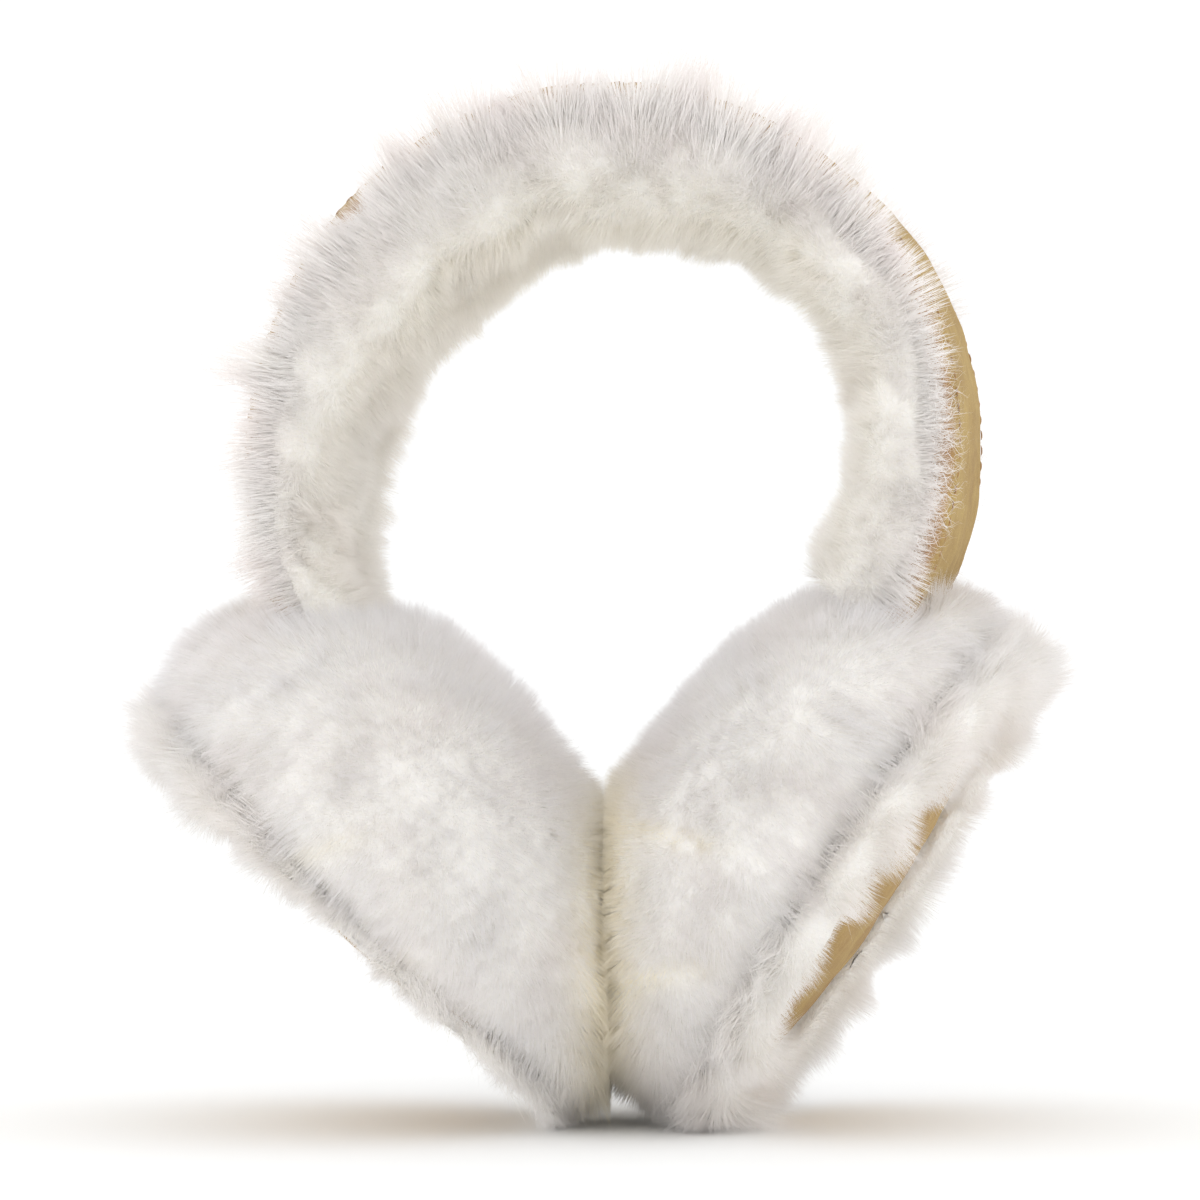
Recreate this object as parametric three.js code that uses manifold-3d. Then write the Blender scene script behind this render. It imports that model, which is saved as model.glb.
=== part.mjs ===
// Fur earmuffs, standing on their ear pads. Millimetres, +Z up, with the front towards -Y.
// A headband of suede, folded in over a lining of long fleece, arches over two thick round pads.
// Each pad is a fur cushion on the ear side, a suede disc outside, and a fur fringe round that disc.
import * as THREE from "three";
import { mergeVertices } from "three/addons/utils/BufferGeometryUtils.js";
import Module from "manifold-3d";

const wasm = await Module();
wasm.setup();

// Driving dimensions, in millimetres and degrees. Left and right are as seen from the front, from -Y.
const clearance = 0.3; // between two pieces that lie against each other
const archRadius = 71.5; // from the arch's centre to the outside of the suede
const archHeight = 139; // the arch's centre above the floor
const archShift = 3; // the arch stands this far to the right of the pads
const archEndAngle = 34; // how far each leg runs on below the arch's centre
const legSpread = 4.5; // the left leg's end stands this much further out than the right one's
const suedeWidth = 50; // the suede band, front to back
const suedeWall = 1.8;
const suedeLip = 5; // how far the suede is folded in over each edge of the band
const suedeCorner = 3.5; // radius of that fold
const fleeceWidth = 60; // the fleece, front to back, at its widest
const fleeceDepth = 24; // the fleece's thickness, measured in from the outside of the suede
const padRadius = 64.5; // a pad at its widest, without its tufts
const padDome = 43; // how far the cushion swells towards the ear
const padBack = 9; // how far the cushion reaches back from its widest ring to the seam
const seamRadius = 59; // a pad at the seam between its cushion and its fringe
const padOffset = 43; // a pad's middle from the plane between the two pads
const padHeight = 53.5; // a pad's middle above the floor
const padsTurn = 9; // the pair of pads is turned this far about the upright axis from the band
const discRadius = 48; // the suede disc on the outside of a pad
const discWall = 1.8;
const discRise = 5; // how far the disc bulges outwards
const fringeHeight = 8; // how far the fringe stands out beyond the seam
const fringeOverhang = 3; // how far the fringe leans in over the disc
const socketDepth = 1.2; // the free space round the band's end inside a pad
const tuftLength = 12; // the longest tufts of fur, along the band's edges
const tuftWidth = 18;
const tuftSink = 4; // how far a tuft's root is buried in its backing
const overcut = 1; // how far a space that is cut away runs on past the piece it is cut from

const matt = (color, roughness) => new THREE.MeshStandardMaterial({ color, roughness, metalness: 0 });
const suedeMaterial = () => matt(0xc09a62, 0.95);
const furMaterial = () => matt(0xeae5df, 0.9);

const radians = THREE.MathUtils.degToRad;
const at = (x, y, z) => new THREE.Vector3(x, y, z);

// A smooth rise to 1 where the distance is 0, which is nearly gone at twice the spread
const hump = (distance, spread) => Math.exp(-((distance / spread) ** 2));

// A repeatable spread of numbers from -1 to 1, for tufts that shouldn't look alike
function vary(index, salt) {
  const scattered = Math.sin(index * 12.9898 + salt * 78.233) * 43758.5453;
  return 2 * (scattered - Math.floor(scattered)) - 1;
}

// Joins a list of sections, all with the same number of points, into one closed skin.
// A loop joins its last section to its first; an open list is closed by fans to its two end points.
function skin(sections, { loop = false, start, end } = {}) {
  const count = sections[0].length;
  const points = sections.flat();
  const faces = [];
  const steps = loop ? sections.length : sections.length - 1;
  for (let row = 0; row < steps; row++) {
    const next = (row + 1) % sections.length;
    for (let i = 0; i < count; i++) {
      const j = (i + 1) % count;
      const [a, b] = [row * count + i, row * count + j];
      const [c, d] = [next * count + i, next * count + j];
      faces.push([a, b, c], [b, d, c]);
    }
  }
  if (!loop) {
    const last = (sections.length - 1) * count;
    const middle = (section) => section.reduce((sum, p) => sum.add(p), at(0, 0, 0)).divideScalar(count);
    points.push(start ?? middle(sections[0]), end ?? middle(sections.at(-1)));
    for (let i = 0; i < count; i++) {
      const j = (i + 1) % count;
      faces.push([j, i, points.length - 2], [last + i, last + j, points.length - 1]);
    }
  }
  return closedSolid(points, faces);
}

// A manifold solid from points and triangles, with its faces turned outwards whichever way the sections ran
function closedSolid(points, faces) {
  let volume = 0;
  for (const [a, b, c] of faces) volume += points[a].dot(points[b].clone().cross(points[c]));
  const turned = volume < 0 ? faces.map(([a, b, c]) => [a, c, b]) : faces;
  return new wasm.Manifold(
    new wasm.Mesh({
      numProp: 3,
      vertProperties: new Float32Array(points.flatMap((p) => p.toArray())),
      triVerts: new Uint32Array(turned.flat()),
    }),
  );
}

// A solid from a three.js geometry, such as a box used to cut another piece
function solidOf(geometry) {
  const merged = mergeVertices(geometry.clone().deleteAttribute("normal").deleteAttribute("uv"));
  const points = [];
  for (let i = 0; i < merged.attributes.position.count; i++)
    points.push(new THREE.Vector3().fromBufferAttribute(merged.attributes.position, i));
  const faces = [];
  for (let i = 0; i < merged.index.count; i += 3) faces.push([...merged.index.array.slice(i, i + 3)]);
  return closedSolid(points, faces);
}

// The other way: a three.js geometry from a solid
function geometryOf(solid) {
  const { vertProperties, triVerts } = solid.getMesh();
  return new THREE.BufferGeometry()
    .setAttribute("position", new THREE.BufferAttribute(new Float32Array(vertProperties), 3))
    .setIndex(new THREE.BufferAttribute(new Uint32Array(triVerts), 1));
}

// The named mesh of a finished solid
function mesh(name, solid, material) {
  const geometry = geometryOf(solid);
  geometry.computeVertexNormals();
  const made = new THREE.Mesh(geometry, material);
  made.name = name;
  return made;
}

// A tuft of fur: flattened rings along a line that leaves its backing along out and bends towards lean
function tuft({ root, out, lean, length, width }) {
  const side = out.clone().cross(lean).normalize();
  const sides = 5;
  const reach = length + tuftSink;
  const centre = (t) =>
    root
      .clone()
      .addScaledVector(out, reach * t * (1 - 0.3 * t) - tuftSink)
      .addScaledVector(lean, reach * 0.55 * t * t);
  const ring = (t, share) =>
    Array.from({ length: sides }, (_, i) => {
      const turn = (2 * Math.PI * i) / sides;
      return centre(t)
        .addScaledVector(side, (width / 2) * share * Math.cos(turn))
        .addScaledVector(lean, (width / 3) * share * Math.sin(turn));
    });
  return skin([ring(0, 0.9), ring(0.5, 0.95), ring(0.84, 0.64)], { end: centre(1.04) });
}

const fused = (solids) => wasm.Manifold.union(solids);

// The main body of a furred solid, without the crumbs and sealed air pockets that crossing tufts leave
const mainBody = (solid) =>
  solidOf(geometryOf(solid))
    .decompose()
    .reduce((largest, body) => (body.volume() > largest.volume() ? body : largest));

// The headband's arch: a point at a distance from the arch's centre, at an angle measured up from the right
const archOutward = (angle) => at(Math.cos(radians(angle)), 0, Math.sin(radians(angle)));
const archPoint = (angle, radius, y) =>
  at(archShift, y, archHeight).addScaledVector(
    archOutward(angle),
    radius + legSpread * hump(angle - 180 - archEndAngle, archEndAngle + 8),
  );
const archStep = 8; // degrees between two sections of the band

function archSweep(outline, from = -archEndAngle, to = 180 + archEndAngle) {
  const count = Math.round((to - from) / archStep);
  const sections = Array.from({ length: count + 1 }, (_, i) => {
    const angle = from + ((to - from) * i) / count;
    return outline(angle).map(([radius, y]) => archPoint(angle, radius, y));
  });
  return skin(sections);
}

// Both legs of the arch, from a little beyond their ends to a little above its centre
const legTop = 10; // degrees
const archLegs = (outline) =>
  fused([
    archSweep(outline, -archEndAngle - overcut, legTop),
    archSweep(outline, 180 - legTop, 180 + archEndAngle + overcut),
  ]);

// A bar with its two outer edges rounded, grown on all sides but its inner one
function barOutline(depth, grow = 0) {
  const radius = archRadius + grow;
  const half = suedeWidth / 2 + grow;
  const corner = Math.max(suedeCorner + grow, 0.5);
  const edge = [0, 30, 60, 90].map((turn) => [
    radius - corner + corner * Math.sin(radians(turn)),
    half - corner + corner * Math.cos(radians(turn)),
  ]);
  const front = edge.map(([r, y]) => [r, -y]).reverse();
  return [[archRadius - depth, half], ...edge, ...front, [archRadius - depth, -half]];
}

// The suede: a shell round the outside of the bar and down both its edges, open towards the head
function bandCover() {
  const outside = archSweep(() => barOutline(suedeLip));
  const hollow = archSweep(
    () => barOutline(suedeLip + overcut, -suedeWall),
    -archEndAngle - overcut,
    180 + archEndAngle + overcut,
  );
  return outside.subtract(hollow);
}

// Swellings of the band's fleece: where round the arch, how far they spread, and their share of its depth
const fleeceSwells = [
  { angle: -20, spread: 24, share: 0.1 },
  { angle: 90, spread: 46, share: 0.34 },
  { angle: 124, spread: 13, share: 0.18 },
  { angle: 214, spread: 24, share: -0.28 },
];
const depthAt = (angle) =>
  fleeceDepth * fleeceSwells.reduce((sum, s) => sum + s.share * hump(angle - s.angle, s.spread), 1);

// The fleece fills the suede's channel up to its neck, and bulges out of the channel's mouth
function fleeceOutline(angle) {
  const neck = suedeWidth / 2 - suedeWall - clearance;
  const mouth = archRadius - suedeLip - clearance;
  const depth = depthAt(angle) - suedeLip - clearance;
  const bulge = [8, 28, 50, 70, 90].map((turn) => [
    mouth - depth * Math.sin(radians(turn)) ** 0.8,
    (fleeceWidth / 2) * Math.cos(radians(turn)) ** 0.6,
  ]);
  const back = [[archRadius - suedeWall - clearance, neck - suedeCorner], [mouth, neck], ...bulge];
  const front = back.slice(0, -1).map(([r, y]) => [r, -y]);
  return [...back, ...front.reverse()];
}

// Stretches of the band's edges where the fleece lies low and the suede shows: share taken off a tuft
const lowStretches = [
  { angle: 0, spread: 24, share: 0.75 },
  { angle: 38, spread: 9, share: 0.35 },
  { angle: 186, spread: 10, share: 0.3 },
];
const edgeTufts = 14; // along each edge
const innerTufts = 6; // along the inner face
const tuftedAngle = 12; // how far below the arch's centre the edge tufts start
const tuftInset = 3; // how far inside the fleece's side an edge tuft is rooted

// Tufts along both edges of the band, which stand up beside the suede, and along its inner face
function bandTufts() {
  const made = [];
  const reach = 180 + 2 * tuftedAngle;
  for (const edge of [-1, 1])
    for (let i = 0; i < edgeTufts; i++) {
      const salt = edge + 3;
      const angle = -tuftedAngle + (reach * (i + 0.5 + 0.25 * vary(i, salt))) / edgeTufts;
      const low = lowStretches.reduce((sum, s) => sum + s.share * hump(angle - s.angle, s.spread), 0);
      const outward = archOutward(angle);
      const along = archOutward(angle + 90).multiplyScalar(vary(i, salt + 5) > 0 ? 0.45 : -0.45);
      made.push(
        tuft({
          root: archPoint(angle, archRadius - suedeLip - tuftSink, edge * (fleeceWidth / 2 - tuftInset)),
          out: at(0, 0.8 * edge, 0).add(outward).add(along).normalize(),
          lean: outward.clone().addScaledVector(at(0, edge, 0), -0.5).normalize(),
          length: tuftLength * (0.85 + 0.2 * vary(i, salt + 9)) * (1 - low),
          width: tuftWidth * (1 + 0.2 * vary(i, salt + 13)),
        }),
      );
    }
  for (let i = 0; i < innerTufts; i++) {
    const angle = (180 * (i + 0.5 + 0.2 * vary(i, 21))) / innerTufts;
    const shift = 0.2 * fleeceWidth * vary(i, 27);
    made.push(
      tuft({
        root: archPoint(angle, archRadius - depthAt(angle), shift),
        out: archOutward(angle + 180).addScaledVector(at(0, vary(i, 31), 0), 0.4).normalize(),
        lean: archOutward(angle + (i % 2 ? 90 : -90)),
        length: tuftLength * (0.25 + 0.08 * vary(i, 37)),
        width: tuftWidth,
      }),
    );
  }
  return made;
}

function bandFleece() {
  const lining = archSweep(fleeceOutline);
  const suedeSpace = archSweep(() => barOutline(suedeLip + clearance, clearance)).subtract(
    archSweep(() => barOutline(suedeLip + clearance + overcut, -suedeWall - clearance)),
  );
  return mainBody(fused([lining, ...bandTufts()]).subtract(suedeSpace));
}

// A pad's own frame: +Z is its axis towards the ear, and +X runs to its upper end
const padSides = 28;
const around = (count, point) =>
  Array.from({ length: count }, (_, i) => point((2 * Math.PI * i) / count, i));

// Dents and swellings of a pad's outline: angle from its upper end, spread, and share of its radius
const padDents = [
  { angle: 24, spread: 24, share: -0.03 },
  { angle: 78, spread: 20, share: 0.02 },
  { angle: 128, spread: 16, share: -0.035 },
  { angle: 168, spread: 22, share: 0.03 },
  { angle: 214, spread: 14, share: -0.04 },
  { angle: 248, spread: 20, share: 0.025 },
  { angle: 300, spread: 18, share: -0.03 },
];
function dentAt(turn, shift) {
  const degrees = THREE.MathUtils.radToDeg(turn) + shift;
  return padDents.reduce((sum, dent) => {
    const apart = THREE.MathUtils.euclideanModulo(degrees - dent.angle + 180, 360) - 180;
    return sum + dent.share * hump(apart, dent.spread);
  }, 1);
}

// Height of the cushion's back, and of the suede disc that lies on it, at a distance from the axis
const backHeight = (radius) => -padBack - discRise * Math.max(0, 1 - (radius / discRadius) ** 2);

// A big box whose face lies on a level of the pad's axis, for cutting away all that is above or below it
const far = 4 * padRadius;
const allAbove = (level) => solidOf(new THREE.BoxGeometry(far, far, far).translate(0, 0, level + far / 2));
const allBelow = (level) => solidOf(new THREE.BoxGeometry(far, far, far).translate(0, 0, level - far / 2));

// A pad's cushion: rings from the crown of its dome, over its widest one, to the middle of its back
const fullness = 2.2; // of the dome's outline: 2 is a plain ellipse, and more is a fuller shoulder
const cushionTuftCount = 16;
function cushion(side) {
  const dome = [82, 68, 54, 40, 26, 10].map((turn) => [
    padRadius * Math.cos(radians(turn)) ** (2 / fullness),
    padDome * Math.sin(radians(turn)) ** (2 / fullness),
  ]);
  const back = [
    [0.35 * seamRadius + 0.65 * padRadius, -0.6 * padBack],
    [seamRadius, -padBack],
    [discRadius, backHeight(discRadius)],
    [0.66 * discRadius, backHeight(0.66 * discRadius)],
    [0.33 * discRadius, backHeight(0.33 * discRadius)],
  ];
  const rings = [...dome, ...back].map(([radius, height], row) =>
    around(padSides, (turn) => {
      const dent = row < dome.length + 2 ? dentAt(turn, side.dents) ** (radius / padRadius) : 1;
      return at(radius * dent * Math.cos(turn), radius * dent * Math.sin(turn), height);
    }),
  );
  const body = skin(rings, { start: at(0, 0, padDome), end: at(0, 0, backHeight(0)) });
  return fused([body, fused(cushionTufts(side)).subtract(allBelow(-padBack))]);
}

function cushionTufts(side) {
  return around(cushionTuftCount, (turn, i) => {
    const spin = turn + (0.5 * Math.PI * vary(i, side.salt)) / cushionTuftCount;
    const out = at(Math.cos(spin), Math.sin(spin), 0);
    const height = padDome * (0.18 + 0.16 * vary(i, side.salt + 3));
    return tuft({
      root: out.clone().multiplyScalar((padRadius - 1) * dentAt(spin, side.dents)).setZ(height),
      out: out.clone().setZ(0.2).normalize(),
      lean: at(-0.35 * Math.sin(spin), 0.35 * Math.cos(spin), -0.9).normalize(),
      length: tuftLength * (0.32 + 0.12 * vary(i, side.salt + 7)),
      width: tuftWidth * (0.95 + 0.2 * vary(i, side.salt + 11)),
    });
  });
}

// A ring of points round a pad's axis
const flatRing = (radius, height) =>
  around(padSides, (turn) => at(radius * Math.cos(turn), radius * Math.sin(turn), height));

// The suede disc, of an even thickness, which follows the cushion's back
function disc() {
  const shares = [1, 0.7, 0.35]; // of its radius
  const face = (depth) =>
    shares.map((share) =>
      flatRing(share * discRadius, backHeight(share * discRadius) - clearance - depth));
  return skin([...face(0).reverse(), ...face(discWall)], {
    start: at(0, 0, backHeight(0) - clearance),
    end: at(0, 0, backHeight(0) - clearance - discWall),
  });
}

// The fringe's tufts stand in two rows, on its outer side and on its inner one, over the disc
const fringeTuftCount = 15;
function fringeTufts(side, foot, height) {
  return around(fringeTuftCount, (turn, i) => {
    const spin = turn + (0.5 * Math.PI * vary(i, side.salt + 17)) / fringeTuftCount;
    const out = at(Math.cos(spin), Math.sin(spin), 0);
    const outer = i % 3 > 0;
    const radius = outer ? (seamRadius - 2) * dentAt(spin, side.dents + 12) : discRadius + 3;
    return tuft({
      root: out.clone().multiplyScalar(radius).setZ(foot - 0.62 * height),
      out: out.clone().multiplyScalar(outer ? 0.9 : -0.3).setZ(-0.8).normalize(),
      lean: at(-Math.sin(spin), Math.cos(spin), 0).multiplyScalar(vary(i, side.salt + 19) > 0 ? 1 : -1),
      length: tuftLength * ((outer ? 0.45 : 0.3) + 0.12 * vary(i, side.salt + 23)),
      width: tuftWidth * (0.75 + 0.15 * vary(i, side.salt + 29)),
    });
  });
}

// The fringe: a thick ring of fur round the disc, with the disc's own space left free
function fringe(side) {
  const foot = -padBack - clearance;
  const height = side.fringe * fringeHeight;
  const innerFoot = discRadius + clearance;
  const section = [
    [innerFoot, foot],
    [innerFoot, foot - discWall - overcut],
    [discRadius - fringeOverhang, foot - 0.5 * height],
    [discRadius + 1, foot - 0.88 * height],
    [0.5 * (innerFoot + seamRadius), foot - height],
    [seamRadius, foot - 0.85 * height],
    [0.5 * (seamRadius + padRadius), foot - 0.4 * height],
    [seamRadius + 1, foot],
  ];
  const rings = around(padSides, (turn) =>
    section.map(([radius, level], k) => {
      const dent = k > 3 ? dentAt(turn, side.dents + 12) : 1;
      return at(radius * dent * Math.cos(turn), radius * dent * Math.sin(turn), level);
    }),
  );
  const discSpace = skin([
    flatRing(innerFoot, foot + overcut),
    flatRing(innerFoot, foot - discWall - overcut),
    flatRing(0.6 * discRadius, foot - discWall - discRise - overcut),
  ]);
  const tufts = fused(fringeTufts(side, foot, height)).subtract(allAbove(foot));
  return fused([skin(rings, { loop: true }), tufts]).subtract(discSpace);
}

// The free space in a pad round the ends of the band
function socketOutline() {
  const [outer, inner] = [archRadius + socketDepth, archRadius - 1.1 * fleeceDepth - socketDepth];
  const half = fleeceWidth / 2 + socketDepth;
  const cut = 2 * suedeCorner;
  const back = [[outer, half - cut], [outer - cut, half], [inner + cut, half], [inner, half - cut]];
  return [...back, ...back.map(([r, y]) => [r, -y]).reverse()];
}

// A pad is built for the right side, and the left one is turned half a turn about the upright axis.
// Its tilt is how far its ear side faces up, its yaw turns it about its own upright axis,
// and its offset, height and fringe are shares of padOffset, padHeight and fringeHeight.
// Its dents are turned by so many degrees, and its tufts are scattered by their salt.
const sides = [
  { name: "left", turn: 180, tilt: 46.5, yaw: 0, offset: 1, height: 0.95, fringe: 0.9, dents: 0, salt: 41 },
  { name: "right", turn: 0, tilt: 33, yaw: -11, offset: 0.98, height: 1, fringe: 1.2, dents: 130, salt: 83 },
];

const pads = new THREE.Group();
pads.rotation.z = radians(padsTurn);

function earPad(side) {
  const pad = new THREE.Group();
  pad.position.set(side.offset * padOffset, 0, side.height * padHeight);
  pad.rotation.set(0, radians(side.tilt - 90), radians(side.yaw), "ZYX");
  const turned = new THREE.Group();
  turned.rotation.z = radians(side.turn);
  turned.add(pad);
  pads.add(turned);
  pads.updateMatrixWorld(true);

  // The floor and the other pad flatten a pad where they press on it, and the band's end has a socket in it
  const intoPad = pad.matrixWorld.clone().invert();
  const beyondMiddle = new THREE.BoxGeometry(far, far, far)
    .translate((clearance - far) / 2, 0, 0)
    .applyMatrix4(turned.matrixWorld);
  const keptOut = [allBelow(0), solidOf(beyondMiddle), archLegs(socketOutline)].map((space) =>
    space.transform(intoPad.toArray()));
  const trimmed = (solid) => mainBody(keptOut.reduce((left, space) => left.subtract(space), solid));
  pad.add(
    mesh(`${side.name}_pad_cushion`, trimmed(cushion(side)), furMaterial()),
    mesh(`${side.name}_pad_disc`, disc(), suedeMaterial()),
    mesh(`${side.name}_pad_fringe`, trimmed(fringe(side)), furMaterial()),
  );
}
sides.forEach(earPad);

const earmuffs = new THREE.Group();
earmuffs.add(
  mesh("band_cover", bandCover(), suedeMaterial()),
  mesh("band_fleece", bandFleece(), furMaterial()),
  pads,
);

// The origin is on the floor under the middle of the whole
const bounds = new THREE.Box3().setFromObject(earmuffs, true);
const middle = bounds.getCenter(at(0, 0, 0));
earmuffs.position.set(-middle.x, -middle.y, 0);

export default earmuffs;
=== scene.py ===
# %% [markdown]
# # Fur earmuffs
#
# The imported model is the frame: every piece below takes its place from a node of it, in metres.
# The suede, the cushions and the fleece are each made anew in finer form, and fur grows on them.

# %% Load the frame
import math

import bpy
import numpy as np
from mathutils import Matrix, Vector


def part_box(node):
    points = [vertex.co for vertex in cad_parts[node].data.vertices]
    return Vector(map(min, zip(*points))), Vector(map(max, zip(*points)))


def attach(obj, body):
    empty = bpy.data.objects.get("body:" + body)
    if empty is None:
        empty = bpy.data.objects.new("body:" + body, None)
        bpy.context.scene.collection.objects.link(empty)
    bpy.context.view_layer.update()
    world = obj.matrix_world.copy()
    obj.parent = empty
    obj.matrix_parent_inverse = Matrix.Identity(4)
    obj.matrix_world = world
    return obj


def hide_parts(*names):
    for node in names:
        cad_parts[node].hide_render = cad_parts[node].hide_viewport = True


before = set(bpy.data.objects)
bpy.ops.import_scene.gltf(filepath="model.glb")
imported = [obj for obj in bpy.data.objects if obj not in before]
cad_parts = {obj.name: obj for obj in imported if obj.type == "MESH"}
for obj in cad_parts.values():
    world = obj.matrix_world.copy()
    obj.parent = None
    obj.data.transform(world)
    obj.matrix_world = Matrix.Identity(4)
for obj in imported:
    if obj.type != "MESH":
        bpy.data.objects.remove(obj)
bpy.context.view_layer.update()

MM = 0.001
print("nodes:", ", ".join(sorted(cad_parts)))

# %% [markdown]
# ## Sizes
#
# These follow the solids. The place of the arch is read from the suede band's own box, and the
# pads stand to it as they do in the model.

# %% Sizes and places
ARCH_RADIUS = 71.5 * MM
ARCH_HEIGHT = 139 * MM
ARCH_SHIFT = 3 * MM
ARCH_END = 34  # degrees
LEG_SPREAD = 4.5 * MM
SUEDE_WIDTH = 50 * MM
SUEDE_WALL = 1.8 * MM
SUEDE_LIP = 5 * MM
SUEDE_CORNER = 3.5 * MM
FLEECE_WIDTH = 60 * MM
FLEECE_DEPTH = 24 * MM
PAD_BACK = 9 * MM
PAD_OFFSET = 43 * MM
PAD_HEIGHT = 53.5 * MM
PADS_TURN = math.radians(9)
DISC_RADIUS = 48 * MM
DISC_WALL = 1.8 * MM
DISC_RISE = 5 * MM
CLEARANCE = 0.3 * MM

cover_low, cover_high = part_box("band_cover")
ARCH_X = cover_high[0] - ARCH_RADIUS
ARCH_Y = (cover_low[1] + cover_high[1]) / 2
# Each pad's angles are in degrees; its offset and height are shares of the pads' sizes above
SIDES = {
    "left": dict(turn=180, tilt=46.5, yaw=0, offset=1.0, height=0.95),
    "right": dict(turn=0, tilt=33, yaw=-11, offset=0.98, height=1.0),
}
print(f"the arch's centre is at x {ARCH_X:.4f}, y {ARCH_Y:.4f}")


# %% [markdown]
# ## Small tools
#
# Meshes are made from arrays of points and faces. A smooth field of crossing waves stands for
# all that is uneven: its value lifts a surface, and its slope draws hairs together into locks.

# %% Arrays to meshes
def hump(distance, spread):
    """A smooth rise to 1 where distance is 0: e to the power of minus the squared share."""
    return np.exp(-((distance / spread) ** 2))


def unit(v):
    """The vectors v, each divided by its own length."""
    return v / np.maximum(np.linalg.norm(v, axis=-1, keepdims=True), 1e-12)


def mesh_piece(name, points, faces, material, attributes=None):
    """A mesh object from points (n, 3) and faces (m, 3 or 4), smooth, with named point values."""
    count, corners = faces.shape
    mesh = bpy.data.meshes.new(name)
    mesh.vertices.add(len(points))
    mesh.vertices.foreach_set("co", points.astype(np.float32).ravel())
    mesh.loops.add(count * corners)
    mesh.loops.foreach_set("vertex_index", faces.astype(np.int32).ravel())
    mesh.polygons.add(count)
    mesh.polygons.foreach_set("loop_start", np.arange(0, count * corners, corners, dtype=np.int32))
    mesh.polygons.foreach_set("use_smooth", np.ones(count, dtype=bool))
    for key, values in (attributes or {}).items():
        layer = mesh.attributes.new(key, "FLOAT", "POINT")
        layer.data.foreach_set("value", values.astype(np.float32))
    mesh.update(calc_edges=True)
    piece = bpy.data.objects.new(name, mesh)
    bpy.context.scene.collection.objects.link(piece)
    mesh.materials.append(material)
    return piece


def grid_faces(rows, columns):
    """Triangles between each row of a grid and the next, the last column joined to the first."""
    row, column = np.meshgrid(np.arange(rows - 1), np.arange(columns), indexing="ij")
    a = row * columns + column
    b = row * columns + (column + 1) % columns
    c, d = a + columns, b + columns
    return np.concatenate([np.stack([a, b, d], -1).reshape(-1, 3), np.stack([a, d, c], -1).reshape(-1, 3)])


def closed_skin(sections):
    """Points and triangles of a closed skin over sections (rows, columns, 3), with a fan at each end.

    The faces are turned outwards: the volume, summed over the faces, comes out positive."""
    rows, columns, _ = sections.shape
    middles = np.stack([sections[0].mean(0), sections[-1].mean(0)])
    points = np.concatenate([sections.reshape(-1, 3), middles])
    i = np.arange(columns)
    j = (i + 1) % columns
    last_row = (rows - 1) * columns
    first = np.stack([j, i, np.full(columns, rows * columns)], -1)
    last = np.stack([last_row + i, last_row + j, np.full(columns, rows * columns + 1)], -1)
    faces = np.concatenate([grid_faces(rows, columns), first, last])
    a, b, c = (points[faces[:, k]] for k in range(3))
    if (a * np.cross(b, c)).sum() < 0:
        faces = faces[:, ::-1]
    return points, faces


class Waves:
    """A smooth uneven field: the mean of many sine waves that run in random directions."""

    def __init__(self, seed, wavelength, count=22):
        rng = np.random.default_rng(seed)
        away = unit(rng.normal(size=(count, 3)))
        self.number = away * (2 * np.pi / (wavelength * rng.uniform(0.7, 1.5, (count, 1))))
        self.phase = rng.uniform(0, 2 * np.pi, count)
        self.gain = math.sqrt(2 / count)
        self.wavelength = wavelength

    def value(self, points):
        """About -1 to 1 at each point."""
        return np.sin(points @ self.number.T + self.phase).sum(1) * self.gain

    def over(self, grid):
        """The value at each point of a grid (rows, columns, 3)."""
        return self.value(grid.reshape(-1, 3)).reshape(grid.shape[:2])

    def slope(self, points):
        """The way in which the value rises fastest, about one long."""
        steep = np.cos(points @ self.number.T + self.phase) @ self.number
        return steep * self.gain * self.wavelength / (2 * np.pi)


# %% The arch and the pads' places
def outward(angle):
    """The direction away from the arch's centre, at an angle in degrees measured up from the right."""
    turn = np.radians(angle)
    return np.stack([np.cos(turn), 0 * turn, np.sin(turn)], -1)


def leg_spread(angle):
    """How much further out the arch stands at an angle: a hump with its top at the left leg's end."""
    return LEG_SPREAD * hump(angle - 180 - ARCH_END, ARCH_END + 8)


def arch_point(angle, radius, y):
    """A point of the band: outwards from the arch's centre by the radius and the leg's spread."""
    angle, radius, y = np.broadcast_arrays(angle, radius, y)
    middle = np.stack([np.full(angle.shape, ARCH_X), ARCH_Y + y, np.full(angle.shape, ARCH_HEIGHT)], -1)
    return middle + outward(angle) * (radius + leg_spread(angle))[..., None]


def turned(axis, degrees):
    """A rotation about an axis, 0, 1 or 2, as a matrix of 3 by 3."""
    c, s = math.cos(math.radians(degrees)), math.sin(math.radians(degrees))
    i, j = [(1, 2), (2, 0), (0, 1)][axis]
    matrix = np.eye(3)
    matrix[i, i] = matrix[j, j] = c
    matrix[i, j], matrix[j, i] = -s, s
    return matrix


def pad_place(side):
    """A pad's rotation and middle: its third axis points towards the ear, its first to its upper end."""
    s = SIDES[side]
    around = turned(2, math.degrees(PADS_TURN)) @ turned(2, s["turn"])
    rotation = around @ turned(2, s["yaw"]) @ turned(1, s["tilt"] - 90)
    middle = around @ np.array([s["offset"] * PAD_OFFSET, 0, s["height"] * PAD_HEIGHT])
    return rotation, middle + [ARCH_X - ARCH_SHIFT, ARCH_Y, 0]


for side in SIDES:
    print(f"the {side} pad's middle, in mm:", np.round(pad_place(side)[1] / MM, 1))


# %% [markdown]
# ## Materials
#
# Shared patterns are node groups that give only colours and heights. The finish stands in each
# material. All patterns read object coordinates or the hairs' own values.

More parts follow.
